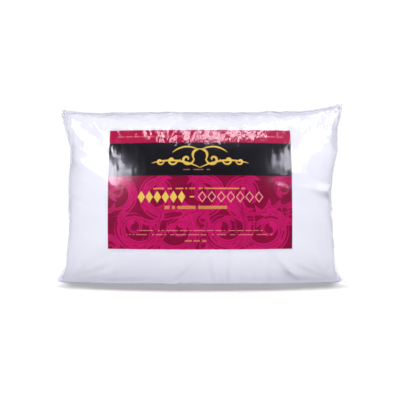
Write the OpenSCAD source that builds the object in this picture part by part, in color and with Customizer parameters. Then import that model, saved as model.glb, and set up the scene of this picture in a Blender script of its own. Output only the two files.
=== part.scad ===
// Twin pack of two bed pillows, sealed face to face in one clear film bag with a printed card.
// The pack stands on a long edge. +X is to the right seen from the front, the front and its
// card face -Y, and +Z is up. The origin is the middle of the flat underside.

/* [Pack] */
// Width across the side welds at the waist
pack_w = 666; // [620:1:700]
// Height from the floor to the middle of the top weld
pack_h = 437; // [400:1:470]
// Greatest depth, front to back
pack_d = 210; // [170:1:240]
// How far the lower weld would hang below the floor if the floor did not flatten the pack
floor_squash = 40; // [30:1:55]

/* [Bag] */
// Thickness of the film
film_t = 0.6; // [0.4:0.1:1]
// Width of the heat weld round the edge
weld_w = 3; // [2:0.5:8]
// How far each lower corner stands out past the waist
low_ear = 26; // [10:1:30]
// How far each upper corner stands out past the waist
high_ear = 12; // [4:1:20]
// How far each upper corner rises above the middle of the top weld
ear_rise = 12; // [4:1:20]
// How much wider the pack is at its top and bottom than at its waist, on each side
waist_pinch = 9; // [4:1:16]

/* [Card] */
// Width of the card, measured straight across
card_w = 446; // [360:1:480]
// Height of the card's lower edge above the floor
card_low = 89; // [70:1:110]
// Height that the card covers
card_rise = 290; // [240:1:300]
// Thickness of the card
card_t = 0.5; // [0.4:0.1:0.8]

/* [Pillows] */
// Distance from the bag's edge in to a pillow's seam
pillow_inset = 5.5; // [4.5:0.5:14]
// Rounding of a pillow's corners
corner_r = 22; // [16:1:40]
// How much of the bag's corner ears a pillow's own corners fill
ear_fill = 0.8; // [0.4:0.05:0.8]
// How far a pillow's upper corners rise above the middle of its top edge
corner_rise = 6.5; // [2:0.5:7]
// Thickness of the ticking
ticking_t = 1.2; // [0.8:0.1:1.5]
// Gap between the two pillows, which holds their folded labels
pillow_gap = 2.4; // [2:0.1:4]
// Clearance between neighbouring layers
clearance = 0.8; // [0.6:0.1:1]

/* [Labels and stitches] */
// Width of a care label
label_w = 62; // [50:1:80]
// Length of a care label
label_h = 92; // [70:1:110]
// Thickness of a care label
label_t = 0.5; // [0.4:0.1:0.7]
// Length of one stitch that closes the filling slit
stitch_l = 7; // [5:1:9]
// Distance from one stitch to the next
stitch_pitch = 10; // [9:1:14]
// Number of stitches in each closing seam
stitch_count = 24; // [12:1:26]
// Thickness of the closing thread
thread_d = 0.8; // [0.6:0.1:1]

/* [Hidden] */

// Cells across and up each curved surface
across = 24;
up = 18;
// Powers that make the crown broad in the middle and full towards its edges
crown_broad = 2.4;
crown_full = 0.55;
// Heights over which the corner ears fade into the sides
low_ear_fade = 26;
high_ear_fade = 45;
ear_round = 1.6;
// Larger than the pack in every direction
beyond = 1000;
// How much of a surface stands below its floor before it is cut off flat
trim = 3;
// How much of the full width the edge under a surface takes
foot_share = 0.98;

waist_z = pack_h / 2;
side_round = 1.4;
// Each layer's height over the floor
pillow_floor = film_t + clearance;
fill_floor = pillow_floor + ticking_t + clearance;
// Each layer's greatest distance in front of the seam plane
bag_depth = pack_d / 2;
cavity_depth = bag_depth - film_t;
card_depth = cavity_depth - clearance;
pillow_depth = card_depth - card_t - clearance;
// A pillow's seam lies just in front of its flat back panel
seam_y = pillow_gap / 2 + ticking_t;
dome_depth = pillow_depth - seam_y;
// How far inside a pillow's seam its label and stitches start
seam_margin = 4;
// The care label sits low on the side seam and the closing stitches above it
label_low = 40;
stitch_low = label_low + label_h + 18;

// The side outline, from the waist out to the ears
function waist_w(z) = pack_w / 2 + waist_pinch * pow(abs(z / waist_z - 1), side_round);
function ears(z) = low_ear * exp(-pow(max(z, 0) / low_ear_fade, ear_round))
    + high_ear * exp(-pow(max(pack_h - z, 0) / high_ear_fade, ear_round));
function bag_half_w(z, inset) = waist_w(z) + ears(z) - inset;

// A pillow's corners reach into the bag's ears and are rounded. They are rounded by the same
// amount all along the top edge, so that the grid's columns keep their order.
function corner_cut(past) = corner_r - sqrt(pow(corner_r, 2) - pow(min(past, corner_r), 2));
function pillow_half_w(z, inset, a = 1) =
    let (past = max(0, z - top_z(a, inset, false) + corner_r))
    waist_w(z) + ear_fill * ears(z) - inset - corner_cut(past);

// Sample places from -1 to 1, closer together near the ends, where the crown is steep
function share(i, cells) = sin(90 * (2 * i / cells - 1));

// Height of the top edge, which rises into the corners
function top_z(a, inset, eared) =
    pack_h - inset + (eared ? ear_rise : corner_rise) * pow(abs(a), 8);

// How much of its full depth a crowned surface has at a share of the width and a height.
// Without the floor the crown would run down to a lower seam of its own, below the floor.
function fullness(a, z, top, inset) =
    let (
        low = inset - floor_squash,
        c = 2 * (z - low) / (top - low) - 1
    )
    pow(1 - pow(abs(a), crown_broad), crown_full)
        * pow(1 - pow(min(abs(c), 1), crown_broad), crown_full);

// One point of a crowned surface that rises from floor_z. a runs from -1 to 1 across it and
// rise from 0 to 1 up it. The foot is the edge that runs under the surface, in the seam plane.
function crown_point(a, rise, inset, depth, back_y, eared, floor_z, is_foot) =
    let (
        top = top_z(a, inset, eared),
        z = floor_z + (top - floor_z) * rise,
        half_w = eared ? bag_half_w(z, inset) : pillow_half_w(z, inset, a)
    )
    is_foot
        ? [a * half_w * foot_share, -back_y, z]
        : [a * half_w, -back_y - depth * fullness(a, z, top, inset), z];

// The rows of a crowned surface from its floor up, with a foot row first if it is footed
function crown_points(inset, depth, back_y, eared, floor_z, footed) = [
    for (j = [footed ? -1 : 0:up])
        for (i = [0:across])
            crown_point(
                share(i, across), (share(max(j, 0), up) + 1) / 2,
                inset, depth, back_y, eared, floor_z, j < 0
            )
];

function mirrored(points) = [for (p = points) [p[0], -p[1], p[2]]];

// Two triangles for each cell of a grid whose points start at first. The cut runs towards
// the grid's middle, so that no triangle has all its points on the edge. The outside faces
// -Y, or +Y when it is flipped.
function at(i, j, nx) = j * (nx + 1) + i;
function cell(i, j, nx, nz, first, flipped) =
    let (
        a = first + at(i, j, nx),
        b = first + at(i + 1, j, nx),
        c = first + at(i + 1, j + 1, nx),
        d = first + at(i, j + 1, nx),
        rising = (i < nx / 2) == (j < nz / 2)
    )
    flipped
        ? (rising ? [[a, b, c], [a, c, d]] : [[a, b, d], [b, c, d]])
        : (rising ? [[a, c, b], [a, d, c]] : [[a, d, b], [b, d, c]]);
function grid_faces(nx, nz, first, flipped) = [
    for (j = [0:nz - 1])
        for (i = [0:nx - 1])
            for (f = cell(i, j, nx, nz, first, flipped)) f
];

// The points round a grid's edge, in order
function rim(nx, nz) = concat(
    [for (i = [0:nx - 1]) at(i, 0, nx)],
    [for (j = [0:nz - 1]) at(nx, j, nx)],
    [for (i = [nx:-1:1]) at(i, nz, nx)],
    [for (j = [nz:-1:1]) at(0, j, nx)]
);
// A band of triangles that joins the edges of two grids of the same size
function rim_faces(nx, nz, second) =
    let (
        edge = rim(nx, nz),
        n = len(edge)
    )
    [
        for (k = [0:n - 1])
            let (a = edge[k], b = edge[(k + 1) % n])
                for (f = [[a, b, second + b], [a, second + b, second + a]]) f
    ];

// A closed solid between two grids of nz rows of cells: the outer faces -Y, the inner +Y
module between(outer, inner, nz) {
    n = len(outer);
    polyhedron(
        points = concat(outer, inner),
        faces = concat(
            grid_faces(across, nz, 0, false),
            grid_faces(across, nz, n, true),
            rim_faces(across, nz, n)
        ),
        convexity = 6
    );
}

// A closed lens: a crowned surface and its mirror image, which share their edge
module lens(inset, depth, floor_z) {
    front = crown_points(inset, depth, 0, true, floor_z, true);
    n = len(front);
    rows = up + 1;
    edge = rim(across, rows);
    on_edge = [for (k = [0:n - 1]) len(search(k, edge)) > 0];
    back_faces = [
        for (f = grid_faces(across, rows, 0, true)) [for (k = f) on_edge[k] ? k : n + k]
    ];
    polyhedron(
        points = concat(front, mirrored(front)),
        faces = concat(grid_faces(across, rows, 0, false), back_faces),
        convexity = 6
    );
}

// Everything below a height
module below(z) {
    translate([-beyond / 2, -beyond / 2, z - beyond]) cube(beyond);
}

// The clear bag: one skin, welded round the edge, flattened where it stands
module bag_film() {
    color("whitesmoke", 0.4)
    difference() {
        lens(0, bag_depth, -trim);
        lens(weld_w, cavity_depth, film_t);
        below(0);
    }
}

// The card lies against the front of the front pillow and takes its curve
function card_point(x, z, depth) =
    [x, -depth * fullness(x / bag_half_w(z, weld_w), z, pack_h - weld_w, weld_w), z];
function card_points(depth) = [
    for (j = [0:up])
        for (i = [0:across])
            card_point(card_w * (i / across - 0.5), card_low + card_rise * j / up, depth)
];
module insert_card() {
    color("crimson")
    between(card_points(card_depth), card_points(card_depth - card_t), up);
}

// The outer panel of a pillow's shell, a dome of ticking that is open at the seam
module domed_panel() {
    inner_inset = pillow_inset + ticking_t;
    inner_depth = dome_depth - ticking_t;
    inner_floor = pillow_floor + ticking_t;
    color("white")
    difference() {
        between(
            crown_points(pillow_inset, dome_depth, seam_y, false, pillow_floor - trim, true),
            crown_points(inner_inset, inner_depth, seam_y, false, inner_floor, true),
            up + 1
        );
        below(pillow_floor);
    }
}

// A point on a pillow's seam, at a share of the width and a share of the height
function seam_point(a, rise) =
    let (z = pillow_floor + (top_z(a, pillow_inset, false) - pillow_floor) * rise)
        [a * pillow_half_w(z, pillow_inset, a), z];

// The inner panel of a pillow's shell, flat against the other pillow
module flat_panel() {
    right_side = [for (j = [0:up]) seam_point(1, (share(j, up) + 1) / 2)];
    top = [for (i = [across - 1:-1:1]) seam_point(share(i, across), 1)];
    left_side = [for (j = [up:-1:0]) seam_point(-1, (share(j, up) + 1) / 2)];
    color("white")
    translate([0, -pillow_gap / 2, 0])
    rotate([90, 0, 0])
    linear_extrude(ticking_t)
    polygon(concat(right_side, top, left_side));
}

// The fibre that fills a pillow, a little smaller than its shell
module fill_body() {
    inset = pillow_inset + ticking_t + 2 * clearance;
    depth = dome_depth - ticking_t - clearance;
    back_y = seam_y + clearance / 2;
    color("snow")
    difference() {
        between(
            crown_points(inset, depth, back_y, false, fill_floor - trim, false),
            crown_points(inset, 0, back_y, false, fill_floor - trim, false),
            up
        );
        below(fill_floor);
    }
}

// A care label, held in the side seam and folded in behind the pillow. Its fold is at
// the seam, so it reaches inwards from there.
module label_plate(z) {
    seam_x = pillow_half_w(z + label_h / 2, pillow_inset) - seam_margin;
    color("ivory")
    translate([seam_x - label_w, -pillow_gap / 2 + label_t / 2, z])
    cube([label_w, label_t, label_h]);
}

// The row of stitches that closes the filling slit, close to the side seam and on the
// same face as the label
module stitch_row(z) {
    color("gainsboro")
    for (k = [0:stitch_count - 1]) {
        stitch_z = z + k * stitch_pitch;
        translate([pillow_half_w(stitch_z, pillow_inset) - seam_margin, -pillow_gap / 2, stitch_z])
        stitch();
    }
}
// One stitch: a thread of half-round ends, laid flat on the panel
module stitch() {
    rotate([-90, 0, 0])
    linear_extrude(thread_d / 2)
    union() {
        square([thread_d, stitch_l - thread_d], center = true);
        for (end = [-1, 1]) {
            translate([0, end * (stitch_l - thread_d) / 2]) circle(d = thread_d, $fn = 16);
        }
    }
}

// The rear pillow is the front one turned half way round, so that their backs meet
module turned() {
    rotate([0, 0, 180]) children();
}

module front_pillow_front_panel() domed_panel();
module front_pillow_back_panel() flat_panel();
module front_pillow_fibre_fill() fill_body();
module front_pillow_care_label() label_plate(label_low);
module front_pillow_closing_stitches() stitch_row(stitch_low);
module rear_pillow_front_panel() turned() flat_panel();
module rear_pillow_back_panel() turned() domed_panel();
module rear_pillow_fibre_fill() turned() fill_body();
module rear_pillow_care_label() turned() label_plate(label_low);
module rear_pillow_closing_stitches() turned() stitch_row(stitch_low);

bag_film();
insert_card();
front_pillow_front_panel();
front_pillow_back_panel();
front_pillow_fibre_fill();
front_pillow_care_label();
front_pillow_closing_stitches();
rear_pillow_front_panel();
rear_pillow_back_panel();
rear_pillow_fibre_fill();
rear_pillow_care_label();
rear_pillow_closing_stitches();
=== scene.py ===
"""The looks of a shop pack of two bed pillows: a clear film bag, a printed card and both pillows.

The frame gives the sizes. The film and the ticking are cut flat, and Blender's Cloth fills them,
so their puckers come from cloth that is longer than the shape it is stretched over. Folds too
fine for the cloth's grid are added to both. All lengths are in metres, in the CAD model's frame.
"""

import math

import bpy
import numpy as np
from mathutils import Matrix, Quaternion, Vector
from mathutils.bvhtree import BVHTree


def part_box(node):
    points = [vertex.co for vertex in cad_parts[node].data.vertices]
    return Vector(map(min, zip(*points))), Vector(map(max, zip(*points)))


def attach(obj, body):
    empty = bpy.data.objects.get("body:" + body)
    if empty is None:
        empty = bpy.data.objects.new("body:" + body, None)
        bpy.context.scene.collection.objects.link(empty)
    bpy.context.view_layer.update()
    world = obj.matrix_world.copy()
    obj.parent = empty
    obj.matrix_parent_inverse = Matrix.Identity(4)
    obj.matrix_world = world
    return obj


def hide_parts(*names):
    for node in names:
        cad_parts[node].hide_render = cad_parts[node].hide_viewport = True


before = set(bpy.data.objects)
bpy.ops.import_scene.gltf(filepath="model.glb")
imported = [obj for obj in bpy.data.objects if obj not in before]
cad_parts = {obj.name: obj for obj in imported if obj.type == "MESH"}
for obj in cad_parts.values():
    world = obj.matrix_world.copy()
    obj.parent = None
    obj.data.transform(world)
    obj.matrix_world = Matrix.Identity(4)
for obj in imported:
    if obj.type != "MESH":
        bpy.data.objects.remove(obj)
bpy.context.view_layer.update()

# ---- Sizes of the pack -------------------------------------------------------------------
PACK_H = 0.437  # floor to the middle of the top weld
WAIST_W = 0.333  # half the width at the waist
WAIST_PINCH = 0.009  # how much farther each side is out at the floor and at the top
LOW_EAR, LOW_FADE = 0.026, 0.026  # how far the lower ears reach out, and over what height
HIGH_EAR, HIGH_FADE = 0.012, 0.045  # the same for the upper ears
EAR_ROUND = 1.6
EAR_RISE = 0.012  # how far the upper ears stand over the middle of the top
FLOOR_SQUASH = 0.040  # how far the lower weld would hang below the floor
CROWN_BROAD, CROWN_FULL = 2.4, 0.55  # the powers of the crown's outline
BAG_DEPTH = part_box("bag_film")[1].y  # from the middle of the pack to its front or back
WELD = 0.003  # how wide the welded margin is
WELD_GAP = 0.0002  # from the middle of the weld to each web
PILLOW_INSET = 0.0055  # from the bag's outline to a pillow's seam
CORNER_R = 0.022  # of a pillow's upper corners
EAR_FILL = 0.8  # how much of the bag's ears a pillow's corners fill
CORNER_RISE = 0.0065  # the same as EAR_RISE, for a pillow's corners
SEAM_Y = -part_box("front_pillow_front_panel")[1].y  # from the middle to each pillow's seam
CARD_LOW, CARD_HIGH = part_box("insert_card")
BAG_FLAT, PILLOW_FLAT = (0.737, 0.537), (0.711, 0.508)  # the sheets as they are cut

# ---- The grids that both skins are made on -------------------------------------------------
CELL = 0.005
COLS = int(BAG_FLAT[0] / CELL)
ROWS = int(BAG_FLAT[1] / CELL)
FRONT, BACK = -1, 1
FLIP_Y = np.array([1, -1, 1])


def cells_in(grid):
    """Each point's count of cells from the nearer side edge, and from the top edge."""
    rows, cols = grid.shape[:2]
    column = np.arange(cols)
    return np.minimum(column, cols - 1 - column)[None], (rows - 1 - np.arange(rows))[:, None]


def waist_half_w(z):
    return WAIST_W + WAIST_PINCH * np.abs(2 * z / PACK_H - 1) ** 1.4


def ears(z):
    low = LOW_EAR * np.exp(-((np.maximum(z, 0) / LOW_FADE) ** EAR_ROUND))
    high = HIGH_EAR * np.exp(-((np.maximum(PACK_H - z, 0) / HIGH_FADE) ** EAR_ROUND))
    return low + high


def bag_half_w(z, inset, _):
    return waist_half_w(z) + ears(z) - inset


def pillow_half_w(z, inset, top):
    """A pillow's corners reach into the bag's ears and are rounded."""
    past = np.clip(z - top + CORNER_R, 0, CORNER_R)
    cut = CORNER_R - np.sqrt(CORNER_R**2 - past**2)
    return waist_half_w(z) + EAR_FILL * ears(z) - inset - cut


def fullness(a, z, top, inset):
    """The share of the full depth at a share a of the width and a height z."""
    low = inset - FLOOR_SQUASH
    c = np.minimum(np.abs(2 * (z - low) / (top - low) - 1), 1)
    across = (1 - np.minimum(np.abs(a), 1) ** CROWN_BROAD) ** CROWN_FULL
    return across * (1 - c**CROWN_BROAD) ** CROWN_FULL


def run_along(points):
    """How far along a line each of its points is."""
    steps = np.linalg.norm(np.diff(points, axis=0), axis=-1)
    return np.concatenate([np.zeros_like(steps[:1]), np.cumsum(steps, axis=0)])


def resample(points, count):
    """The same line with its points evenly spaced."""
    run = run_along(points)
    places = np.linspace(0, run[-1], count)
    return np.stack([np.interp(places, run, points[:, k]) for k in range(3)], 1)


def even_shares(depth):
    """Shares of the width that are evenly spaced along the crown of the waist."""
    a = np.sin(np.pi / 2 * np.linspace(-1, 1, 2001))
    arc = np.stack([a * WAIST_W, depth * (1 - np.abs(a) ** CROWN_BROAD) ** CROWN_FULL], 1)
    run = run_along(arc)
    return np.interp(np.linspace(0, run[-1], COLS + 1), run, a)


def skin_grid(inset, depth, floor_z, half_w, rise):
    """One side of a filled skin, from the middle of its underside to its top edge."""
    grid = np.zeros((ROWS + 1, COLS + 1, 3))
    for i, a in enumerate(even_shares(depth)):
        top = PACK_H - inset + rise * abs(a) ** 8
        z = floor_z + (top - floor_z) * (np.sin(np.pi / 2 * np.linspace(-1, 1, 400)) + 1) / 2
        wall = np.stack([a * half_w(z, inset, top), -depth * fullness(a, z, top, inset), z], 1)
        under = np.repeat(wall[:1], 60, 0)
        under[:, 1] = np.linspace(0, wall[0, 1], 60)
        grid[:, i] = resample(np.concatenate([under[:-1], wall]), ROWS + 1)
    return grid


# ---- Cloth ---------------------------------------------------------------------------------
ON_FLOOR = 0.0025  # points lower than this are held by the floor


def quads(index):
    corners = [index[:-1, :-1], index[:-1, 1:], index[1:, 1:], index[1:, :-1]]
    return np.stack(corners, -1).reshape(-1, 4)


def pouch(front, back):
    """Two grids joined round their edges: points, faces, and each grid's index."""
    rows, cols = front.shape[0], front.shape[1]
    index = np.arange(rows * cols).reshape(rows, cols)
    behind = index.copy()
    inner = (rows - 2) * (cols - 2)
    behind[1:-1, 1:-1] = rows * cols + np.arange(inner).reshape(rows - 2, cols - 2)
    points = np.concatenate([front.reshape(-1, 3), back[1:-1, 1:-1].reshape(-1, 3)])
    faces = np.concatenate([quads(index), quads(behind)[:, ::-1]])
    return points, faces, index, behind


def fill_pouch(start, cut, faces, held, pressure, tension, bending, frames):
    """Fills cloth that was cut flat to the size in cut, from the place in start."""
    mesh = bpy.data.meshes.new("pouch")
    mesh.from_pydata(start.tolist(), [], faces.tolist())
    piece = bpy.data.objects.new("pouch", mesh)
    bpy.context.scene.collection.objects.link(piece)
    piece.shape_key_add(name="start")
    flat = piece.shape_key_add(name="flat")
    flat.data.foreach_set("co", cut.astype(np.float32).ravel())
    flat.value = 0
    group = piece.vertex_groups.new(name="held")
    group.add([int(i) for i in np.nonzero(held)[0]], 1.0, "REPLACE")
    cloth = piece.modifiers.new("cloth", "CLOTH")
    settings = cloth.settings
    settings.quality = 8
    settings.mass = 0.1
    settings.air_damping = 2
    settings.tension_stiffness = settings.compression_stiffness = tension
    settings.shear_stiffness = tension / 3
    settings.bending_stiffness = bending
    settings.rest_shape_key = flat
    settings.use_pressure = True
    settings.uniform_pressure_force = pressure
    settings.vertex_group_mass = group.name
    settings.effector_weights.gravity = 0
    cloth.collision_settings.use_collision = False
    cloth.point_cache.frame_start = 1
    cloth.point_cache.frame_end = frames + 1
    for step in range(1, frames + 1):
        bpy.context.scene.frame_set(step)
    graph = bpy.context.evaluated_depsgraph_get()
    filled = np.zeros(len(start) * 3, np.float32)
    piece.evaluated_get(graph).data.vertices.foreach_get("co", filled)
    bpy.data.objects.remove(piece)
    bpy.context.scene.frame_set(1)
    return filled.reshape(-1, 3).astype(float)


def blur(grid, sigma):
    """A smooth copy of a grid, sigma in cells. The grid is carried on past its edges."""
    reach = int(3 * sigma)
    weight = np.exp(-0.5 * (np.arange(-reach, reach + 1) / sigma) ** 2)
    weight /= weight.sum()
    out = np.pad(grid, ((reach, reach), (reach, reach), (0, 0)), "reflect", reflect_type="odd")
    out = sum(w * out[k : k + grid.shape[0]] for k, w in enumerate(weight))
    return sum(w * out[:, k : k + grid.shape[1]] for k, w in enumerate(weight))


def filled_skin(grid, flat, seed, pucker, **cloth):
    """How far the front and the back of a skin move from their grids when they are filled."""
    front, back = grid.copy(), grid * FLIP_Y
    wave = crimp(seed, pucker)
    front[..., 1] += wave
    back[..., 1] += wave
    start, faces, index, behind = pouch(front, back)
    x, z = np.meshgrid(
        np.linspace(-flat[0] / 2, flat[0] / 2, COLS + 1), np.linspace(0, flat[1], ROWS + 1)
    )
    y = np.full_like(x, 0.001)
    cut = pouch(np.stack([x, -y, z], 2), np.stack([x, y, z], 2))[0]
    moved = fill_pouch(start, cut, faces, start[:, 2] < ON_FLOOR, **cloth)
    return moved[index] - grid, moved[behind] - grid * FLIP_Y


def crimp(seed, height):
    """A slight zigzag of the edge, front to back, which says where its puckers start."""
    rng = np.random.default_rng(seed)
    across = np.linspace(0, 1, COLS + 1)
    up = np.linspace(0, 1, ROWS + 1)
    wave = np.zeros((ROWS + 1, COLS + 1))
    for _ in range(14):
        count, phase = rng.uniform(5, 16), rng.uniform(0, 2 * np.pi)
        wave += np.sin(2 * np.pi * count * across + phase)[None] * up[:, None] ** 12
        count, phase = rng.uniform(4, 11), rng.uniform(0, 2 * np.pi)
        edge = np.abs(2 * across - 1) ** 16
        wave += np.sin(2 * np.pi * count * up + phase)[:, None] * edge[None] * (up > 0.2)[:, None]
    return height * wave / np.abs(wave).max()


# ---- Meshes --------------------------------------------------------------------------------
def grid_object(name, grid, material, flip=False):
    index = np.arange(grid.shape[0] * grid.shape[1]).reshape(grid.shape[:2])
    faces = quads(index)
    faces = faces[:, ::-1] if flip else faces
    mesh = bpy.data.meshes.new(name)
    mesh.from_pydata(grid.reshape(-1, 3).tolist(), [], faces.tolist())
    return finished(name, mesh, material)


def finished(name, mesh, material):
    mesh.polygons.foreach_set("use_smooth", [True] * len(mesh.polygons))
    mesh.materials.append(material)
    piece = bpy.data.objects.new(name, mesh)
    bpy.context.scene.collection.objects.link(piece)
    return piece


def subdivide(piece, levels=1):
    """Applies a subdivision surface, so that no modifier is left."""
    modifier = piece.modifiers.new("subdivision", "SUBSURF")
    modifier.levels = modifier.render_levels = levels
    graph = bpy.context.evaluated_depsgraph_get()
    mesh = bpy.data.meshes.new_from_object(piece.evaluated_get(graph))
    piece.modifiers.clear()
    piece.data = mesh
    return piece


def closed_object(name, outer, inner, material):
    """A closed solid between two grids of the same size. The outer one faces -Y."""
    rows, cols = outer.shape[:2]
    index = np.arange(rows * cols).reshape(rows, cols)
    behind = index + rows * cols
    ring = np.concatenate([index[0, :-1], index[:-1, -1], index[-1, :0:-1], index[:0:-1, 0]])
    nxt = np.roll(ring, -1)
    band = np.stack([nxt, ring, ring + rows * cols, nxt + rows * cols], 1)
    faces = np.concatenate([quads(index), quads(behind)[:, ::-1], band])
    points = np.concatenate([outer.reshape(-1, 3), inner.reshape(-1, 3)])
    mesh = bpy.data.meshes.new(name)
    mesh.from_pydata(points.tolist(), [], faces.tolist())
    return finished(name, mesh, material)


def float_attribute(piece, name, values):
    layer = piece.data.attributes.new(name, "FLOAT", "POINT")
    layer.data.foreach_set("value", np.asarray(values, np.float32).ravel())


def depth_probe(piece):
    """Looks along +Y at a piece: gives its y at x and z, or None beside it."""
    tree = BVHTree.FromObject(piece, bpy.context.evaluated_depsgraph_get())

    def probe(x, z):
        hit = tree.ray_cast(Vector((x, -1, z)), Vector((0, 1, 0)))[0]
        return None if hit is None else hit.y

    return probe


# ---- Materials -----------------------------------------------------------------------------
class Nodes:
    """Short names for building the node tree of one material or world."""

    def __init__(self, name, made_in=bpy.data.materials, output="OutputMaterial"):
        self.owner = made_in.new(name)
        self.owner.use_nodes = True
        self.tree = self.owner.node_tree
        self.tree.nodes.clear()
        self.out = self.add(output)

    def add(self, kind, inputs=(), **values):
        node = self.tree.nodes.new("ShaderNode" + kind)
        for key, value in values.items():
            setattr(node, key, value)
        for key, value in dict(inputs).items():
            if isinstance(value, bpy.types.NodeSocket):
                self.tree.links.new(value, node.inputs[key])
            else:
                node.inputs[key].default_value = value
        return node

    def math(self, operation, a, b=0.0, c=0.0):
        return self.add("Math", {0: a, 1: b, 2: c}, operation=operation).outputs[0]

    def blend(self, factor, a, b):
        return self.add("Mix", {0: factor, 6: a, 7: b}, data_type="RGBA").outputs[2]

    def ramp(self, value, low, high, out_low=0.0, out_high=1.0):
        inputs = {0: value, 1: low, 2: high, 3: out_low, 4: out_high}
        return self.add("MapRange", inputs).outputs[0]

    def times(self, a, b):
        return self.math("MULTIPLY", a, b)

    def plus(self, a, b):
        return self.math("ADD", a, b)

    def place(self):
        return self.add("NewGeometry").outputs["Position"]

    def xyz(self, vector):
        return self.add("SeparateXYZ", {0: vector}).outputs

    def attribute(self, name):
        return self.add("Attribute", attribute_name=name).outputs["Fac"]

    def noise(self, vector, scale, detail=3.0, stretch=None):
        if stretch:
            vector = self.add("Mapping", {"Vector": vector, "Scale": stretch}).outputs[0]
        inputs = {"Vector": vector, "Scale": scale, "Detail": detail}
        return self.add("TexNoise", inputs).outputs["Fac"]

    def bump(self, height, distance, strength=1.0):
        inputs = {"Height": height, "Distance": distance, "Strength": strength}
        return self.add("Bump", inputs).outputs[0]

    def mixed(self, factor, a, b):
        return self.add("MixShader", {0: factor, 1: a.outputs[0], 2: b.outputs[0]})

    def finish(self, shader):
        self.tree.links.new(shader.outputs[0], self.out.inputs["Surface"])
        return self.owner

    def principled(self, colour, roughness, normal, others):
        inputs = {"Base Color": colour, "Roughness": roughness, "Normal": normal}
        return self.finish(self.add("BsdfPrincipled", inputs | others))


def woven(name, colour_low, colour_high, pitch, roughness, sheen):
    """Plain-woven cloth: threads both ways, slubs, and a slow change of tone."""
    n = Nodes(name)
    place = n.place()
    turn = 2 * math.pi / pitch
    xyz = n.xyz(place)
    warp = n.math("SINE", n.times(n.plus(xyz[0], xyz[1]), turn))
    weft = n.math("SINE", n.times(n.plus(xyz[2], xyz[1]), turn))
    slub = n.noise(place, 420, 2, stretch=(1, 1, 0.15))
    tone = n.noise(place, 9, 4)
    height = n.plus(n.times(n.times(warp, weft), 0.5), slub)
    colour = n.blend(n.ramp(tone, 0.3, 0.7), colour_low, colour_high)
    rough = n.ramp(slub, 0.2, 0.8, roughness - 0.06, roughness + 0.04)
    others = {"Sheen Weight": sheen, "Sheen Roughness": 0.4, "Specular IOR Level": 0.25}
    return n.principled(colour, rough, n.bump(height, pitch * 0.25, 0.5), others)


def fibre_material():
    n = Nodes("loose_fibre")
    place = n.place()
    curl = n.noise(place, 160, 6)
    clump = n.noise(place, 22, 5)
    colour = n.blend(n.ramp(clump, 0.3, 0.7), (0.80, 0.80, 0.82, 1), (0.92, 0.92, 0.93, 1))
    rough = n.ramp(curl, 0.2, 0.8, 0.85, 1.0)
    normal = n.bump(n.plus(curl, n.times(clump, 2.0)), 0.004)
    return n.principled(colour, rough, normal, {"Sheen Weight": 0.5, "Specular IOR Level": 0.1})


FILM_IOR = 1.5


def film_material():
    """Clear film: see-through, glossy on both faces, a little dull where it hangs free."""
    n = Nodes("clear_film")
    place = n.place()
    free, z = n.attribute("free"), n.xyz(place)[2]
    facing = n.add("NewGeometry").outputs["Backfacing"]
    ior = n.math("MULTIPLY_ADD", facing, 1 / FILM_IOR - FILM_IOR, FILM_IOR)
    fine = n.noise(place, 62, 2, stretch=(1, 1, 0.16))
    broad = n.noise(place, 14, 3, stretch=(1, 1, 0.45))
    height = n.plus(n.times(fine, n.ramp(z, 0.31, 0.38, 0.4, 3.2)), broad)
    height = n.times(height, n.ramp(free, 0.0, 0.5, 1.0, 0.25))
    normal = n.bump(height, 0.0016, 0.9)
    fresnel = n.add("Fresnel", {"IOR": ior, "Normal": normal}).outputs[0]
    share = n.math("MINIMUM", n.times(fresnel, 1.5), n.ramp(free, 0.0, 0.7, 0.22, 0.05))
    # Light that the card scatters goes straight out, or it would sparkle in the film.
    scattered = n.add("LightPath").outputs["Is Diffuse Ray"]
    share = n.times(share, n.math("SUBTRACT", 1.0, scattered))
    tint = n.blend(free, (0.985, 0.985, 0.992, 1), (0.88, 0.87, 0.93, 1))
    clear = n.add("BsdfTransparent", {"Color": tint})
    rough = n.ramp(fine, 0.2, 0.8, 0.13, 0.21)
    white = (1, 1, 1, 1)
    gloss = n.add("BsdfGlossy", {"Color": white, "Roughness": rough, "Normal": normal})
    # The milky colour is paler low down and darker high up: painted light that brightens the
    # shaded lower ears and dims the strongly lit upper ones.
    milky_painted_light = n.blend(n.ramp(z, 0.05, 0.42), (0.89, 0.88, 0.98, 1), (0.61, 0.60, 0.69, 1))
    milky = n.add("BsdfDiffuse", {"Color": milky_painted_light})
    shader = n.mixed(share, n.mixed(n.times(free, 0.8), clear, milky), gloss)
    material = n.finish(shader)
    material.use_transparency_overlap = True
    return material


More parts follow.
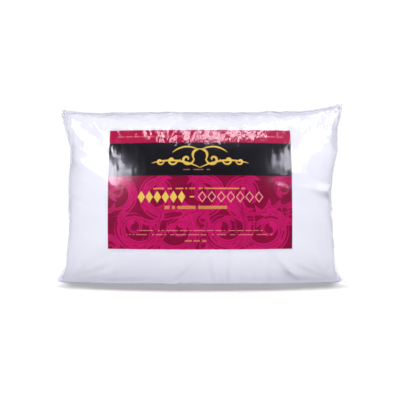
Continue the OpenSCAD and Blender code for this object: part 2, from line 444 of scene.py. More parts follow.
def card_material():
    """Coated print: a crimson strip, a black band and a damask field, with gold ornaments."""
    n = Nodes("printed_card")
    place = n.place()
    across = n.attribute("card_x")
    down = n.attribute("card_down")
    scroll = n.attribute("scroll")
    vein = n.attribute("vein")
    gold_line = n.attribute("flourish")

    def inside(value, low, high):
        """1 between two values."""
        return n.times(n.math("GREATER_THAN", value, low), n.math("LESS_THAN", value, high))

    def row(y, height, x0, x1, word, seed):
        """A line of plain dashes of uneven length, at y below the card's top edge."""
        cell = n.math("FLOOR", n.math("DIVIDE", n.plus(across, seed), word))
        chance = n.add("TexWhiteNoise", {"W": cell}, noise_dimensions="1D").outputs["Value"]
        dash = n.math("GREATER_THAN", chance, 0.22)
        tall, wide = inside(down, y - height / 2, y + height / 2), inside(across, x0, x1)
        return n.times(n.times(tall, wide), dash)

    def lozenges(y, height, x0, x1, pitch, hollow):
        """A row of diamonds, solid or hollow."""
        local = n.math("MODULO", n.math("SUBTRACT", across, x0), pitch)
        dx = n.math("ABSOLUTE", n.math("SUBTRACT", local, pitch / 2))
        dy = n.math("ABSOLUTE", n.math("SUBTRACT", down, y))
        dx, dy = n.math("DIVIDE", dx, pitch * 0.46), n.math("DIVIDE", dy, height / 2)
        return n.times(inside(n.plus(dx, dy), hollow, 1.0), inside(across, x0, x1))

    wear = n.noise(place, 130, 3)
    tone = n.ramp(n.noise(place, 11, 3), 0.3, 0.7)
    ground = n.blend(tone, (0.170, 0.0010, 0.028, 1), (0.25, 0.0018, 0.042, 1))
    bright = n.blend(tone, (0.42, 0.004, 0.092, 1), (0.52, 0.008, 0.125, 1))
    on_scroll = n.ramp(scroll, -0.0004, 0.0004, 1.0, 0.0)
    on_vein = n.ramp(vein, -0.0003, 0.0003, 1.0, 0.0)
    field = n.blend(on_scroll, ground, bright)
    field = n.blend(n.times(on_vein, 0.75), field, (0.17, 0.0016, 0.030, 1))
    strip = n.blend(wear, (0.36, 0.0035, 0.050, 1), (0.42, 0.004, 0.060, 1))
    black = n.blend(wear, (0.0050, 0.0045, 0.0070, 1), (0.0080, 0.0072, 0.0105, 1))
    colour = n.blend(inside(down, 0.0, BAND_TOP), field, strip)
    colour = n.blend(inside(down, BAND_TOP, BAND_LOW), colour, black)

    colour = n.blend(n.ramp(gold_line, -0.0003, 0.0003, 1.0, 0.0), colour, INKS["gold"])
    for *shape, ink in DIAMOND_ROWS:
        colour = n.blend(lozenges(*shape), colour, INKS[ink])
    for *shape, ink, share in PRINT_ROWS:
        colour = n.blend(n.times(row(*shape), share), colour, INKS[ink])
    rough = n.ramp(wear, 0.2, 0.8, 0.38, 0.50)
    return n.principled(colour, rough, n.bump(wear, 0.0001, 0.4), {"Specular IOR Level": 0.05})


def label_material():
    """Woven tape with generic printed bars."""
    n = Nodes("label_tape")
    place = n.place()
    xyz = n.xyz(place)
    ribs = n.math("SINE", n.times(xyz[2], 2 * math.pi / 0.0006))
    slub = n.noise(place, 500, 2)
    bars = n.math("SINE", n.times(xyz[2], 2 * math.pi / 0.009))
    lines = n.math("GREATER_THAN", bars, 0.55)
    patch = n.math("GREATER_THAN", n.noise(place, 60, 1), 0.45)
    cloth = n.blend(slub, (0.80, 0.79, 0.74, 1), (0.88, 0.87, 0.83, 1))
    colour = n.blend(n.times(n.times(lines, patch), 0.6), cloth, (0.12, 0.12, 0.15, 1))
    rough = n.ramp(slub, 0.2, 0.8, 0.55, 0.7)
    return n.principled(colour, rough, n.bump(n.plus(ribs, slub), 0.00008), {})


def thread_material():
    n = Nodes("closing_thread")
    place = n.place()
    xyz = n.xyz(place)
    ply = n.math("SINE", n.plus(n.times(xyz[2], 6000.0), n.times(xyz[0], 9000.0)))
    fuzz = n.noise(place, 900, 2)
    colour = n.blend(fuzz, (0.74, 0.74, 0.78, 1), (0.90, 0.90, 0.92, 1))
    rough = n.ramp(fuzz, 0.2, 0.8, 0.5, 0.7)
    return n.principled(colour, rough, n.bump(ply, 0.00006), {"Sheen Weight": 0.3})


# ---- The card and its print ----------------------------------------------------------------
CARD_W = CARD_HIGH.x - CARD_LOW.x
CARD_FLAT_H = 0.300  # along its curve
CARD_T = 0.0005
CARD_CELL = 0.0015
BAND_TOP, BAND_LOW = 0.122 * CARD_FLAT_H, 0.405 * CARD_FLAT_H  # the black band
INKS = {
    "gold": (0.70, 0.465, 0.085, 1),
    "dull": (0.66, 0.30, 0.075, 1),
    "rose": (0.72, 0.25, 0.22, 1),
}
# y below the top edge, height, from x, to x, pitch, how hollow, ink
DIAMOND_ROWS = [
    (0.1730, 0.0290, -0.150, -0.034, 0.0193, 0.00, "gold"),
    (0.1730, 0.0280, -0.006, 0.152, 0.0226, 0.72, "rose"),
]
# y below the top edge, height, from x, to x, dash, seed, ink, strength
PRINT_ROWS = [
    (0.0190, 0.0030, -0.203, 0.200, 0.0042, 0.4, "rose", 0.50),
    (0.1070, 0.0024, -0.040, 0.032, 0.0040, 0.7, "rose", 0.45),
    (0.1530, 0.0034, -0.112, 0.108, 0.0046, 0.9, "dull", 0.75),
    (0.1730, 0.0028, -0.024, -0.014, 0.0200, 0.2, "gold", 1.00),
    (0.1985, 0.0075, -0.086, 0.064, 0.0062, 0.5, "dull", 0.65),
    (0.2540, 0.0020, -0.150, 0.150, 0.0040, 0.1, "rose", 0.55),
    (0.2640, 0.0020, -0.176, 0.174, 0.0043, 0.6, "rose", 0.60),
    (0.2790, 0.0038, -0.036, 0.020, 0.0050, 0.3, "dull", 0.55),
]
# The scrolls of the field: x and y of the eye below the top edge, size, turn, and hand
SCROLLS = [
    (-0.158, 0.248, 0.044, 2.7, 1), (-0.046, 0.256, 0.041, 0.1, -1),
    (0.058, 0.250, 0.043, 2.2, 1), (0.166, 0.254, 0.045, 0.5, -1),
    (-0.196, 0.158, 0.034, 5.2, -1), (-0.098, 0.162, 0.039, 3.8, 1),
    (0.010, 0.158, 0.037, 5.2, -1), (0.108, 0.164, 0.041, 3.9, 1),
    (0.206, 0.152, 0.033, 5.3, -1), (-0.100, 0.302, 0.026, 1.2, -1),
    (0.112, 0.304, 0.027, 4.4, 1), (0.004, 0.228, 0.022, 4.0, 1),
    (0.006, 0.292, 0.025, 1.6, -1), (-0.216, 0.296, 0.025, 5.6, 1),
    (-0.010, 0.122, 0.016, 2.0, 1), (0.221, 0.222, 0.020, 1.0, 1),
]


def spiral(x, y, radius, turns, start, hand, thick, thin=0.0008):
    """A stroke that curls in from its rim to its eye: points and half widths."""
    t = np.linspace(0, 1, int(16 * turns) + 6)
    r = radius * (1 - 0.86 * t**0.8)
    angle = start + hand * 2 * np.pi * turns * t
    points = np.stack([x + r * np.cos(angle), y + r * np.sin(angle)], 1)
    width = thin + (thick - thin) * np.sin(np.pi * np.clip(0.10 + 0.9 * t, 0, 1)) ** 0.8
    width[-1] = max(width[-2], 0.16 * radius * 0.55)
    return points, width


def bend(x0, y0, x1, y1, bow, thick, thin=0.0006, count=14):
    """A stroke along an arc between two points, thickest in its middle."""
    t = np.linspace(0, 1, count)
    dx, dy = x1 - x0, y1 - y0
    side = bow * 4 * t * (1 - t)
    points = np.stack([x0 + dx * t - dy * side, y0 + dy * t + dx * side], 1)
    width = thin + (thick - thin) * np.sin(np.pi * t) ** 0.8
    return points, width


def distance(field_x, field_y, strokes):
    """The distance from each place to the nearest stroke's edge, negative inside."""
    best = np.full(field_x.shape, 0.02, np.float32)
    for points, width in strokes:
        x0, y0 = points[:, 0].min() - 0.02, points[:, 1].min() - 0.02
        x1, y1 = points[:, 0].max() + 0.02, points[:, 1].max() + 0.02
        near = (field_x > x0) & (field_x < x1) & (field_y > y0) & (field_y < y1)
        if not near.any():
            continue
        px, py = field_x[near], field_y[near]
        reach = best[near]
        for k in range(len(points) - 1):
            ax, ay = points[k]
            dx, dy = points[k + 1] - points[k]
            t = np.clip(((px - ax) * dx + (py - ay) * dy) / (dx * dx + dy * dy + 1e-12), 0, 1)
            gap = np.hypot(px - ax - t * dx, py - ay - t * dy)
            reach = np.minimum(reach, gap - (width[k] + (width[k + 1] - width[k]) * t))
        best[near] = reach
    return best


def leaf(x, y, angle, length, curl, fat):
    """A pointed leaf that starts at x, y and curls to one side: its blade and its midrib."""
    x1, y1 = x + math.cos(angle) * length, y + math.sin(angle) * length
    t = np.linspace(0, 1, 12)
    side = curl * 4 * t * (1 - t)
    dx, dy = x1 - x, y1 - y
    points = np.stack([x + dx * t - dy * side, y + dy * t + dx * side], 1)
    blade = 0.0004 + fat * np.sin(np.pi * t**0.75) ** 0.9
    return (points, blade), (points[2:-3], np.full(7, 0.0008))


# The leaves of one scroll: where on the stem, 1 outside or -1 inside, length and fatness
LEAVES = [
    (3, 1, 1.25, 0.170), (10, -1, 1.00, 0.160), (22, -1, 0.80, 0.150), (27, 1, 1.30, 0.180),
    (34, -1, 0.85, 0.150), (44, 1, 1.20, 0.170), (45, -1, 0.60, 0.120), (54, 1, 0.70, 0.130),
]


def scroll_line(x, y, size, turn, hand, count=72):
    """An S-shaped stem that winds into an eye at x, y: its points and its headings."""
    t = np.linspace(0, 1, count)
    swing = np.clip((t - 0.16) / 0.2, 0, 1)
    bending = -0.55 + 1.55 * swing * swing * (3 - 2 * swing) + 6.5 * np.clip(t - 0.50, 0, 1) ** 1.3
    heading = turn + hand * np.cumsum(bending) * 8.0 / count
    step = size * 8.0 / count
    points = np.stack([np.cumsum(np.cos(heading)), np.cumsum(np.sin(heading))], 1) * step
    return points - points[-14:].mean(0) + [x, y], heading


def scroll_spray(x, y, size, turn, hand):
    """One large scroll, with leaves that peel off both its sides, and their midribs."""
    line, heading = scroll_line(x, y, size, turn, hand)
    t = np.linspace(0, 1, len(line))
    width = size * (0.025 + 0.105 * np.sin(np.pi * t**1.15) ** 0.8)
    width[-4:] = size * 0.13
    outward = np.stack([np.sin(heading), -np.cos(heading)], 1) * hand
    blades = [(line, width)]
    for first, last, gap, thick in ((18, 58, 0.27, 0.085), (12, 50, 0.47, 0.060)):
        beside = line[first:last] + outward[first:last] * size * gap
        blades.append((beside, size * thick * np.sin(np.pi * np.linspace(0, 1, last - first))))
    ribs = [(line[6:-8], np.full(len(line) - 14, size * 0.020))]
    for k, side, length, fat in LEAVES:
        turned, curl = (0.30, -0.22) if side > 0 else (0.35, 0.26)
        angle = heading[k] + hand * turned
        blade, rib = leaf(*line[k], angle, size * length, side * hand * curl, size * fat)
        blades.append(blade)
        ribs.append(rib)
    return blades, ribs


def damask_strokes():
    """A field of large leafy scrolls over the lower part of the card."""
    blades, ribs = [], []
    for place in SCROLLS:
        more, lines = scroll_spray(*place)
        blades += more
        ribs += lines
    return blades, ribs


def flourish_strokes():
    """A pen flourish of loops, the same on the left and right."""
    half = [
        spiral(0.031, 0.0810, 0.0170, 1.05, math.pi, -1, 0.0028, 0.0009),
        spiral(0.067, 0.0835, 0.0135, 1.05, math.pi, -1, 0.0024, 0.0008),
        spiral(0.096, 0.0860, 0.0100, 1.10, math.pi, -1, 0.0019, 0.0007),
        bend(0.000, 0.1020, 0.116, 0.0900, -0.10, 0.0022, 0.0007, 22),
        bend(0.004, 0.0560, 0.066, 0.0630, -0.18, 0.0021, 0.0007, 18),
        bend(0.000, 0.0540, 0.0150, 0.0810, -0.30, 0.0030, 0.0009, 14),
        bend(0.048, 0.0810, 0.0540, 0.0835, 0.4, 0.0014, 0.0008, 8),
    ]
    mirrored = [(points * [-1, 1], width) for points, width in half]
    return half + mirrored


def card_grid(surface_y):
    """The card's front face, with even steps across and down."""
    cols, rows = int(CARD_W / CARD_CELL), int(CARD_FLAT_H / CARD_CELL)
    x = np.linspace(CARD_LOW.x, CARD_HIGH.x, cols + 1)
    z = np.linspace(CARD_LOW.z, CARD_HIGH.z, rows + 1)
    x, z = np.meshgrid(x, z)
    return np.stack([x, surface_y(x, z), z], 2)


def card_piece(surface_y, material):
    front = card_grid(surface_y)
    piece = closed_object("insert_card_print", front, front + [0, CARD_T, 0], material)
    run = run_along(front)
    down = (run[-1] - run) * CARD_FLAT_H / run[-1]
    scroll, vein = damask_strokes()
    fields = {
        "card_x": front[..., 0],
        "card_down": down,
        "scroll": distance(front[..., 0], down, scroll),
        "vein": distance(front[..., 0], down, vein),
        "flourish": distance(front[..., 0], down, flourish_strokes()),
    }
    for name, values in fields.items():
        float_attribute(piece, name, np.tile(values.ravel(), 2))
    return piece


# ---- The skins -----------------------------------------------------------------------------
LEAN = 0.055  # how far the standing pack leans back, per metre of height
SLANT = 0.0090  # how far its upper right corner is pushed out
SLANT_LOW, SLANT_HIGH = 0.215, 0.350  # the heights where that starts and is full
BROADER = 0.005  # how much wider it stands on each side than the CAD model's waist
# Where its sides bulge or give: right 1 or left -1, height, spread, and the push outwards
SIDE_PUSHES = [(1, 0.10, 0.06, 0.005), (1, 0.33, 0.03, 0.005), (-1, 0.33, 0.045, -0.007)]
RIGHT_LIFT, LEFT_DROP = 0.008, 0.006  # how far the upper corners are moved up and down
DRIFT = np.array([0.0, 0.6, 0.2])  # how much of the broad change of shape is kept
FINE = np.array([0.35, 1.0, 1.0])  # how much of the small folds' moves is kept
DRIFT_BLUR = 7  # in cells: what is broader than this counts as drift
FRONT_FOLDS, BACK_FOLDS = 31, 32  # seeds
FILM_GAP = 0.0016  # from the film to the pillows
FRONT_WALL_Y = -0.02  # the front wall lies in front of this, and the underside behind it
INNER_RAMP = 10  # over how many cells an inner panel goes from the seam to its place
MID_GAP = 0.0018  # from the middle of the pack to each inner panel


def as_it_stands(grid):
    """The filled pack leans back a little, and its upper right corner is pulled up and out."""
    out = grid.copy()
    x, z = grid[..., 0], np.maximum(grid[..., 2], 0)
    rise = np.clip((z - SLANT_LOW) / (SLANT_HIGH - SLANT_LOW), 0, 1)
    rise = rise * rise * (3 - 2 * rise)
    side = np.clip(x / WAIST_W, -1, 1)
    out[..., 0] += SLANT * rise * np.clip(side, 0, 1) ** 3
    out[..., 0] += BROADER * side * side * np.sign(side) * (1 - np.exp(-((z / 0.04) ** 2)))
    for hand, height, spread, push in SIDE_PUSHES:
        near = np.clip(hand * side, 0, 1) ** 3 * np.exp(-(((z - height) / spread) ** 2))
        out[..., 0] += hand * push * near
    out[..., 1] += LEAN * z
    out[..., 2] += RIGHT_LIFT * rise * np.clip(side, 0, 1) ** 4 * (z / PACK_H)
    out[..., 2] -= LEFT_DROP * rise * np.clip(-side, 0, 1) ** 4 * (z / PACK_H)
    return out


def over_card(x, z, spread):
    """1 over the card, fading to 0 within spread of its edges."""
    gap = np.maximum(np.abs(x) - CARD_HIGH.x, np.maximum(CARD_LOW.z - z, z - CARD_HIGH.z))
    return np.clip(0.5 - gap / spread, 0, 1)


FOOT = 0.055  # from the middle of the underside to where the front leaves the floor
# The folds that stand out on the front: edge, height, place, slant, width and length
FRONT_MARKS = [
    ("top", 0.0034, 0.317, 0.10, 0.009, 0.16), ("top", -0.0026, 0.335, 0.05, 0.008, 0.12),
    ("top", -0.0026, 0.462, -0.05, 0.009, 0.13), ("top", 0.0034, 0.545, -0.08, 0.010, 0.14),
    ("top", 0.0030, 0.665, -0.45, 0.010, 0.15), ("top", -0.0028, 0.070, 0.55, 0.011, 0.18),
    ("right", -0.0070, 0.272, 0.25, 0.010, 0.15), ("right", 0.0050, 0.292, 0.35, 0.008, 0.13),
    ("left", -0.0034, 0.385, -0.60, 0.012, 0.12), ("left", 0.0030, 0.410, -0.65, 0.011, 0.12),
    ("foot", 0.0080, 0.300, 0.90, 0.010, 0.10), ("foot", -0.0070, 0.408, -0.10, 0.008, 0.14),
    ("foot", 0.0070, 0.422, 0.15, 0.008, 0.12), ("foot", -0.0065, 0.600, -0.60, 0.010, 0.12),
]


def ridge(along, depth, place, slant, width, length):
    """One fold that starts at an edge: along it, and in from it by depth."""
    grow = np.clip(depth, 0, None) / (0.22 * length)
    return np.exp(-(((along - place - slant * depth) / width) ** 2)) * grow * np.exp(1 - grow)


# The small folds: edge, how many, height, place along the edge, slant, width and length
FOLD_SETS = [
    ("top", 46, (0.0008, 0.0026), (0.02, BAG_FLAT[0] - 0.02), 0.35, (0.005, 0.012), (0.05, 0.16)),
    ("left", 24, (0.0006, 0.0018), (0.09, BAG_FLAT[1] - 0.02), 0.5, (0.005, 0.011), (0.04, 0.13)),
    ("right", 24, (0.0006, 0.0018), (0.09, BAG_FLAT[1] - 0.02), 0.5, (0.005, 0.011), (0.04, 0.13)),
    ("foot", 22, (0.0010, 0.0032), (0.04, BAG_FLAT[0] - 0.04), 0.8, (0.006, 0.014), (0.05, 0.12)),
]


def folds(seed, marked=()):
    """Heights of the small folds that run in from the top weld, the sides and the floor."""
    rng = np.random.default_rng(seed)
    along_x = np.arange(COLS + 1)[None] * CELL + np.zeros((ROWS + 1, 1))
    along_z = np.arange(ROWS + 1)[:, None] * CELL + np.zeros((1, COLS + 1))
    ways = {
        "top": (along_x, BAG_FLAT[1] - along_z),
        "foot": (along_x, along_z - FOOT),
        "left": (along_z, along_x),
        "right": (along_z, BAG_FLAT[0] - along_x),
    }
    out = np.zeros((ROWS + 1, COLS + 1))
    for edge, count, heights, places, slants, widths, lengths in FOLD_SETS:
        for _ in range(count):
            height = rng.uniform(*heights) * rng.choice([-1, 1])
            place, slant = rng.uniform(*places), rng.uniform(-slants, slants)
            width, length = rng.uniform(*widths), rng.uniform(*lengths)
            out += height * ridge(*ways[edge], place, slant, width, length)
    to_side = np.minimum(along_x, BAG_FLAT[0] - along_x)
    to_end = np.minimum(BAG_FLAT[1] - along_z, np.abs(along_z - FOOT))
    out *= 1 - np.exp(-((np.hypot(to_side, to_end) / 0.05) ** 2))
    for edge, height, *shape in marked:
        out += height * ridge(*ways[edge], *shape)
    return out


def creased(grid, heights, side):
    """Moves a web's grid out along its normals by the heights of its folds."""
    down = np.gradient(grid, axis=0)
    across = np.gradient(grid, axis=1)
    normal = np.cross(across, down) * (1 if side == FRONT else -1)
    normal /= np.linalg.norm(normal, axis=2, keepdims=True) + 1e-9
    return grid + normal * heights[..., None]


def film_grids():
    """Both webs of the bag, and the broad drift that each keeps from its filling."""
    grid = skin_grid(WELD, BAG_DEPTH - 0.0006, 0.0006, bag_half_w, EAR_RISE)
    flat = (BAG_FLAT[0] - 2 * WELD, BAG_FLAT[1] - 2 * WELD)
    front_move, back_move = filled_skin(
        grid, flat, seed=3, pucker=0.0025, pressure=1.0, tension=40, bending=0.1, frames=22
    )
    behind = grid * FLIP_Y
    smooth_front, smooth_back = blur(front_move, DRIFT_BLUR), blur(back_move, DRIFT_BLUR)
    calm = 0.85 * over_card(grid[..., 0], grid[..., 2], 0.03)[..., None]
    from_side, from_top = (cells[..., None] * CELL for cells in cells_in(grid))
    fine = FINE * (1 - 0.8 * np.exp(-from_side / 0.02))
    front = grid + DRIFT * smooth_front + fine * (front_move - smooth_front) * (1 - calm)
    back = behind + DRIFT * smooth_back + fine * (back_move - smooth_back)
    front = creased(front, folds(FRONT_FOLDS, FRONT_MARKS), FRONT)
    back = creased(back, folds(BACK_FOLDS), BACK)
    # Near the weld both webs move together, so that they don't cross.
    joined = np.exp(-((np.minimum(from_side, from_top) / 0.022) ** 2))
    corner = np.exp(-((np.hypot(from_side, from_top) / 0.055) ** 2))
    joined = np.maximum(joined, corner)
    together = (front - grid + back - behind) / 2
    front = grid + (front - grid) * (1 - joined) + together * joined
    back = behind + (back - behind) * (1 - joined) + together * joined
    return front, back, DRIFT * smooth_front, DRIFT * smooth_back


def pillow_grids(front_drift, back_drift):
    """The two outer panels, which keep the film's drift and have its folds."""
    grid = skin_grid(PILLOW_INSET, BAG_DEPTH - 0.0040, 0.0022, pillow_half_w, CORNER_RISE)
    front_move, back_move = filled_skin(
        grid, PILLOW_FLAT, seed=11, pucker=0.003, pressure=1.0, tension=15, bending=0.4, frames=14
    )
    front = grid + front_drift + FINE * (front_move - blur(front_move, DRIFT_BLUR))
    back = grid * FLIP_Y + back_drift + FINE * (back_move - blur(back_move, DRIFT_BLUR))
    front = creased(front, folds(FRONT_FOLDS, FRONT_MARKS), FRONT)
    return front, creased(back, folds(BACK_FOLDS), BACK)


def with_weld(grid, side):
    """Adds the flat welded margin outside a web's sides and top."""
    out = np.pad(grid, ((0, 1), (1, 1), (0, 0)), "edge")
    out[:, 0, 0] -= WELD
    out[:, -1, 0] += WELD
    out[-1, :, 2] += WELD
    for rim in (out[:, 0], out[:, -1], out[-1]):
        rim[..., 1] += side * WELD_GAP
    return out


def free_film(grid):
    """How free the film hangs: 1 at the weld and in the ears, 0 where it lies on the pillow."""
    side, top = (cells * CELL for cells in cells_in(grid))
    edge = np.maximum(np.exp(-side / 0.012), 1.3 * np.exp(-top / 0.010))
    ear = np.exp(-np.hypot(side, top) / 0.022)
    ear_low = np.exp(-np.hypot(side, top[::-1]) / 0.030)
    return np.clip(np.maximum(0.7 * edge, np.maximum(1.6 * ear, 1.4 * ear_low)), 0, 1)


def smooth_lookup(probe):
    """The film's depth over the card, smoothed, as a function of x and z."""
    xs = np.linspace(CARD_LOW.x - 0.02, CARD_HIGH.x + 0.02, 61)
    zs = np.linspace(CARD_LOW.z - 0.02, CARD_HIGH.z + 0.02, 41)
    samples = np.array([[probe(float(x), float(z)) for x in xs] for z in zs], float)[..., None]
    samples = blur(samples, 2.5)[..., 0]

    def look(x, z):
        fx = np.clip((np.asarray(x) - xs[0]) / (xs[1] - xs[0]), 0, len(xs) - 1.001)
        fz = np.clip((np.asarray(z) - zs[0]) / (zs[1] - zs[0]), 0, len(zs) - 1.001)
        i, j = fx.astype(int), fz.astype(int)
        u, v = fx - i, fz - j
        low = samples[j, i] * (1 - u) + samples[j, i + 1] * u
        high = samples[j + 1, i] * (1 - u) + samples[j + 1, i + 1] * u
        return low * (1 - v) + high * v

    return look


def tuck_behind(grid, probe):
    """Moves a pillow's points back until they are behind the film."""
    out = grid.copy()
    for point in out.reshape(-1, 3):
        x, y, z = point
        film = probe(float(x), float(z))
        if film is not None:
            point[1] = max(y, film + FILM_GAP)
    return out


def clear_of_card(grid, card_y, spread, offset, keep):
    """Holds a front skin off the card: keep picks its y or the card's y plus offset."""
    out = grid.copy()
    x, y, z = np.moveaxis(out, 2, 0)
    on_card = (over_card(x, z, spread) > 0) & (y < FRONT_WALL_Y)
    y[on_card] = keep(y, card_y(x, z) + offset)[on_card]
    return out


def seam_pucker(grid, seed):
    """Small even puckers beside the sewn seam round a panel."""
    rng = np.random.default_rng(seed)
    rows, cols = (np.arange(count) for count in grid.shape[:2])
    side, top = (cells * CELL for cells in cells_in(grid))
    out = grid.copy()
    along_x = np.sin(cols * 1.9 + rng.uniform(0, 6) + np.sin(cols * 0.37))
    along_z = np.sin(rows * 1.8 + rng.uniform(0, 6) + np.sin(rows * 0.31))
    out[..., 1] += 0.0012 * along_x[None] * np.exp(-top / 0.010)
    out[..., 0] += 0.0010 * along_z[:, None] * np.exp(-side / 0.010)
    return out


def inner_panel_grid(outer, side):
    """The inner panel of a pillow: it shares the outer one's seam and lies flat inside it."""
    rows, cols = outer.shape[:2]
    s = np.linspace(0, 1, cols)[None, :, None]
    t = np.linspace(0, 1, rows)[:, None, None]
    low, high = outer[:1], outer[-1:]
    corner = (
        (1 - s) * (1 - t) * low[:, :1] + s * (1 - t) * low[:, -1:]
        + (1 - s) * t * high[:, :1] + s * t * high[:, -1:]
    )
    out = (1 - s) * outer[:, :1] + s * outer[:, -1:] + (1 - t) * low + t * high - corner
    from_side, from_top = cells_in(outer)
    from_end = np.minimum(from_top, from_top[::-1])
    inside = np.minimum(np.minimum(from_side, from_end) / INNER_RAMP, 1)
    flat_y = LEAN * out[..., 2] + side * MID_GAP
    out[..., 1] = out[..., 1] * (1 - inside) ** 2 + flat_y * inside
    return out


# ---- The pieces ----------------------------------------------------------------------------
film_look = film_material()
ticking_look = woven(
    "ticking_cloth", (0.74, 0.742, 0.83, 1), (0.79, 0.793, 0.88, 1), 0.0009, 0.85, 0.25
)
card_look = card_material()
fibre_look = fibre_material()
label_look = label_material()
thread_look = thread_material()

FILL_SIZE = np.array([0.985, 0.93, 0.975])  # the fibre's size as shares of its shell's
STITCHES = 24
STITCH_HALF, THREAD_R = 0.0034, 0.0002
STITCH_STEPS, STITCH_RING = 12, 10


def grid_probe(grid):
    """A depth probe for a grid that isn't a piece."""
    piece = grid_object("probe", grid, film_look)
    probe = depth_probe(piece)
    bpy.data.objects.remove(piece)
    return probe


def declared(piece, node):
    """Hides the CAD part that the piece replaces, and hangs the piece on the root. The pack has no
    joints, so all pieces ride the root.
    """
    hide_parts(node)
    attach(piece, "root")
    return piece


def film_web(name, grid, side):
    """One web of the bag with its welded margin, and how free the film hangs at each point."""
    margin = with_weld(grid, side)
    web = grid_object(name, margin, film_look, flip=side == BACK)
    float_attribute(web, "free", free_film(margin))
    return declared(subdivide(web), "bag_film")


def fibre_fill(name, grids, side):
    """The loose fibre: the shape of both its panels, a little smaller and on half their grid."""
    centre = np.array([0, LEAN * 0.2 + side * 0.045, 0.2])
    front, back = (centre + (grid[::2, ::2] - centre) * FILL_SIZE for grid in grids[::-side])
    fill = closed_object(name + "_fibre", front, back, fibre_look)
    return declared(fill, name + "_fibre_fill")


def care_label(node, panel):
    low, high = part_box(node)
    x, z = np.meshgrid(np.linspace(low.x, high.x, 32), np.linspace(low.z, high.z, 46))
    ripple = 0.0002 * np.sin(x * 140 + z * 60)
    middle = (low.y + high.y) / 2 + LEAN * z
    front, back = (np.stack([x, middle + half + ripple, z], 2) for half in (-0.0002, 0.0002))
    label = declared(closed_object(node + "_tape", front, back, label_look), node)
    return label


def closing_stitches(node):
    """Each stitch is a short thread that dips into the cloth at both ends."""
    low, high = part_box(node)
    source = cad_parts[node].data
    turns = [2 * math.pi * r / STITCH_RING for r in range(STITCH_RING)]
    points, faces = [], []
    for k in range(STITCHES):
        z = low.z + 0.0035 + (high.z - low.z - 0.007) * k / (STITCHES - 1)
        near = [v.co.x for v in source.vertices if abs(v.co.z - z) < 0.004]
        x, y = sum(near) / len(near), (low.y + high.y) / 2 + LEAN * z
        first = len(points)
        for step in range(STITCH_STEPS + 1):
            t = step / STITCH_STEPS
            thin = THREAD_R * math.sin(math.pi * min(max(t, 0.04), 0.96)) ** 0.35
            rise = STITCH_HALF * (2 * t - 1)
            for a in turns:
                points.append((x + 1.8 * thin * math.cos(a), y + thin * math.sin(a), z + rise))
        for step in range(STITCH_STEPS):
            ring = first + step * STITCH_RING
            for r in range(STITCH_RING):
                a, b = ring + r, ring + (r + 1) % STITCH_RING
                faces.append((a, b, b + STITCH_RING, a + STITCH_RING))
        last = first + STITCH_STEPS * STITCH_RING
        faces.append(tuple(range(first + STITCH_RING - 1, first - 1, -1)))
        faces.append(tuple(range(last, last + STITCH_RING)))
    mesh = bpy.data.meshes.new(node)
    mesh.from_pydata(points, [], faces)
    return declared(finished(node + "_thread", mesh, thread_look), node)


def pillow(name, skin, side):
    """A pillow's outer panel, inner panel and fibre, by name."""
    outer, inner = name + "_front_panel", name + "_back_panel"
    if side == BACK:
        outer, inner = inner, outer
    inner_skin = inner_panel_grid(skin, side)
    outer_cloth = grid_object(outer + "_cloth", skin, ticking_look, flip=side == BACK)
    inner_cloth = grid_object(inner + "_cloth", inner_skin, ticking_look, flip=side == FRONT)
    return {
        outer: declared(subdivide(outer_cloth), outer),
        inner: declared(inner_cloth, inner),
        name + "_fibre_fill": fibre_fill(name, (skin, inner_skin), side),
    }


# ---- Build ---------------------------------------------------------------------------------
film_front, film_back, front_drift, back_drift = film_grids()
film_front, film_back = as_it_stands(film_front), as_it_stands(film_back)
film_y = smooth_lookup(grid_probe(film_front))


def card_y(x, z):
    """The card's front face lies just behind the film's smooth shape."""
    return film_y(x, z) + 0.0010


film_front = clear_of_card(film_front, card_y, 0.008, -0.0005, np.minimum)
front_web = film_web("bag_front_web", film_front, FRONT)
back_web = film_web("bag_back_web", film_back, BACK)
card = declared(card_piece(card_y, card_look), "insert_card")

pillow_front, pillow_back = pillow_grids(front_drift, back_drift)
pillow_front, pillow_back = as_it_stands(pillow_front), as_it_stands(pillow_back)
pillow_front[..., 1] -= SEAM_Y
pillow_back[..., 1] += SEAM_Y
pillow_front = tuck_behind(pillow_front, depth_probe(front_web))
pillow_front = clear_of_card(pillow_front, card_y, 0.006, CARD_T + 0.0010, np.maximum)
film_behind = grid_probe(with_weld(film_back, BACK) * FLIP_Y)
pillow_back = tuck_behind(pillow_back * FLIP_Y, film_behind) * FLIP_Y
pieces = {
    **pillow("front_pillow", seam_pucker(pillow_front, 21), FRONT),
    **pillow("rear_pillow", seam_pucker(pillow_back, 22), BACK),
}
for name, inner in (("front_pillow", "_back_panel"), ("rear_pillow", "_front_panel")):
    label, stitches = name + "_care_label", name + "_closing_stitches"
    pieces[label] = care_label(label, pieces[name + inner])
    pieces[stitches] = closing_stitches(stitches)


# ---- Stage, light and camera ---------------------------------------------------------------
def floor_material():
    n = Nodes("studio_floor")
    place = n.place()
    away = n.add("VectorMath", {0: place}, operation="LENGTH").outputs["Value"]
    # Darker near the pack: painted shade that deepens its shadow. Farther out the floor is paler
    # and glows, so that it runs into the white background.
    near = n.blend(n.noise(place, 6, 2), (0.75, 0.75, 0.745, 1), (0.78, 0.78, 0.775, 1))
    colour = n.blend(n.ramp(away, 0.5, 1.8), near, (0.97, 0.97, 0.97, 1))
    strength = n.ramp(away, 0.9, 2.2, 0.0, 0.75)
    glow = n.add("Emission", {"Color": (1, 1, 1, 1), "Strength": strength})
    matt = n.add("BsdfDiffuse", {"Color": colour})
    return n.finish(n.add("AddShader", {0: matt.outputs[0], 1: glow.outputs[0]}))


FLOOR_HALF_W = 9


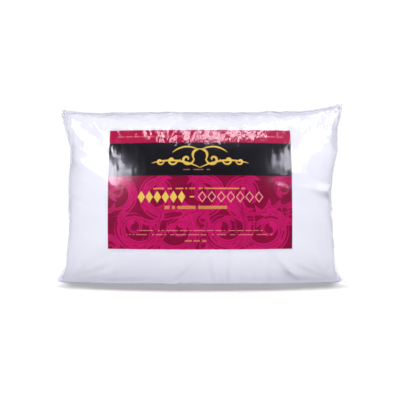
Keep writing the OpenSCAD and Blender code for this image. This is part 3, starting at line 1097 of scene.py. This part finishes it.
def studio_floor():
    """A wide, flat floor, darker near the pack as painted shade that deepens the pack's shadow,
    and paler farther out, so that it runs into the white background.
    """
    steps = np.linspace(-1, 1, 21)
    x, y = np.meshgrid(*[FLOOR_HALF_W * steps * np.abs(steps)] * 2)
    grid = np.stack([x, y, np.full_like(x, -0.0002)], 2)
    floor = grid_object("studio_floor", grid, floor_material())
    floor.data.flip_normals()
    floor.visible_glossy = False
    return floor


AIM = Vector((0, 0, 0.25))


def area_light(name, yaw, pitch, roll, distance_m, width, height, power):
    """A flat light that faces the pack, yaw to the right of the camera and pitch up."""
    data = bpy.data.lights.new(name, "AREA")
    data.shape = "RECTANGLE"
    data.size, data.size_y, data.energy = width, height, power
    light = bpy.data.objects.new(name, data)
    bpy.context.scene.collection.objects.link(light)
    yaw, pitch = math.radians(yaw), math.radians(pitch)
    level = math.cos(pitch)
    away = Vector((math.sin(yaw) * level, -math.cos(yaw) * level, math.sin(pitch)))
    light.location = AIM + away * distance_m
    turn = (-away).to_track_quat("-Z", "Y") @ Quaternion((0, 0, 1), math.radians(roll))
    light.rotation_euler = turn.to_euler()
    return light


def softbox(*args):
    """A light that the film mirrors. The room light does the rest."""
    light = area_light(*args)
    light.data.color = (0.90, 0.87, 1.0)
    light.visible_diffuse = False
    light.visible_camera = False


def plain_light(*args):
    """A light that the film doesn't mirror."""
    light = area_light(*args)
    light.visible_glossy = False
    light.visible_camera = False
    return light


def collection(name, members):
    made = bpy.data.collections.new(name)
    for piece in members:
        made.objects.link(piece)
    return made


def light_only(lit, pack, light):
    """Keeps a light to one collection. Only the pack throws a shadow in it."""
    light.light_linking.receiver_collection = lit
    light.light_linking.blocker_collection = pack


ROOM_LEVEL = 0.43
ROOM_BELOW = 0.75  # how bright the room is under the horizon, as a share of its level


def room_light():
    """White to the camera. As light it is even, and dimmer from below."""
    n = Nodes("studio", bpy.data.worlds, "OutputWorld")
    up = n.xyz(n.add("TexCoord").outputs["Generated"])[2]
    strength = n.ramp(up, -0.12, 0.0, ROOM_LEVEL * ROOM_BELOW, ROOM_LEVEL)
    lit = n.add("Background", {0: (0.985, 0.985, 1, 1), 1: strength})
    seen = n.add("Background", {0: (1, 1, 1, 1), 1: 1.05})
    world = n.finish(n.mixed(n.add("LightPath").outputs["Is Camera Ray"], lit, seen))
    world.cycles_visibility.glossy = False
    bpy.context.scene.world = world


def studio(pack):
    room_light()
    softbox("right_softbox", 56, 28, 18, 3.0, 2.4, 0.8, 55)
    softbox("left_softbox", -50, 23.5, -28, 3.0, 1.9, 0.75, 62)
    softbox("top_softbox", 24, 60, 0, 3.0, 2.3, 0.7, 46)
    floor = collection("floor", [studio_floor()])
    light_only(floor, pack, plain_light("back_light", 180, 74, 0, 8.0, 2.4, 2.0, 1180))
    light_only(pack, pack, plain_light("top_light", 0, 80, 0, 3.0, 2.2, 1.0, 90))
    light_only(pack, pack, plain_light("low_light", 0, -62, 0, 3.0, 2.6, 1.0, 55))


def camera():
    data = bpy.data.cameras.new("camera")
    data.lens = 49.5
    data.sensor_width = 36
    data.clip_start = 0.05
    eye = bpy.data.objects.new("camera", data)
    bpy.context.scene.collection.objects.link(eye)
    eye.location = (0, -1.4, 0.207)
    eye.rotation_euler = (math.radians(90), 0, 0)
    bpy.context.scene.camera = eye


studio(collection("pack", [front_web, back_web, card, *pieces.values()]))
camera()
bpy.context.scene.view_settings.view_transform = "Standard"
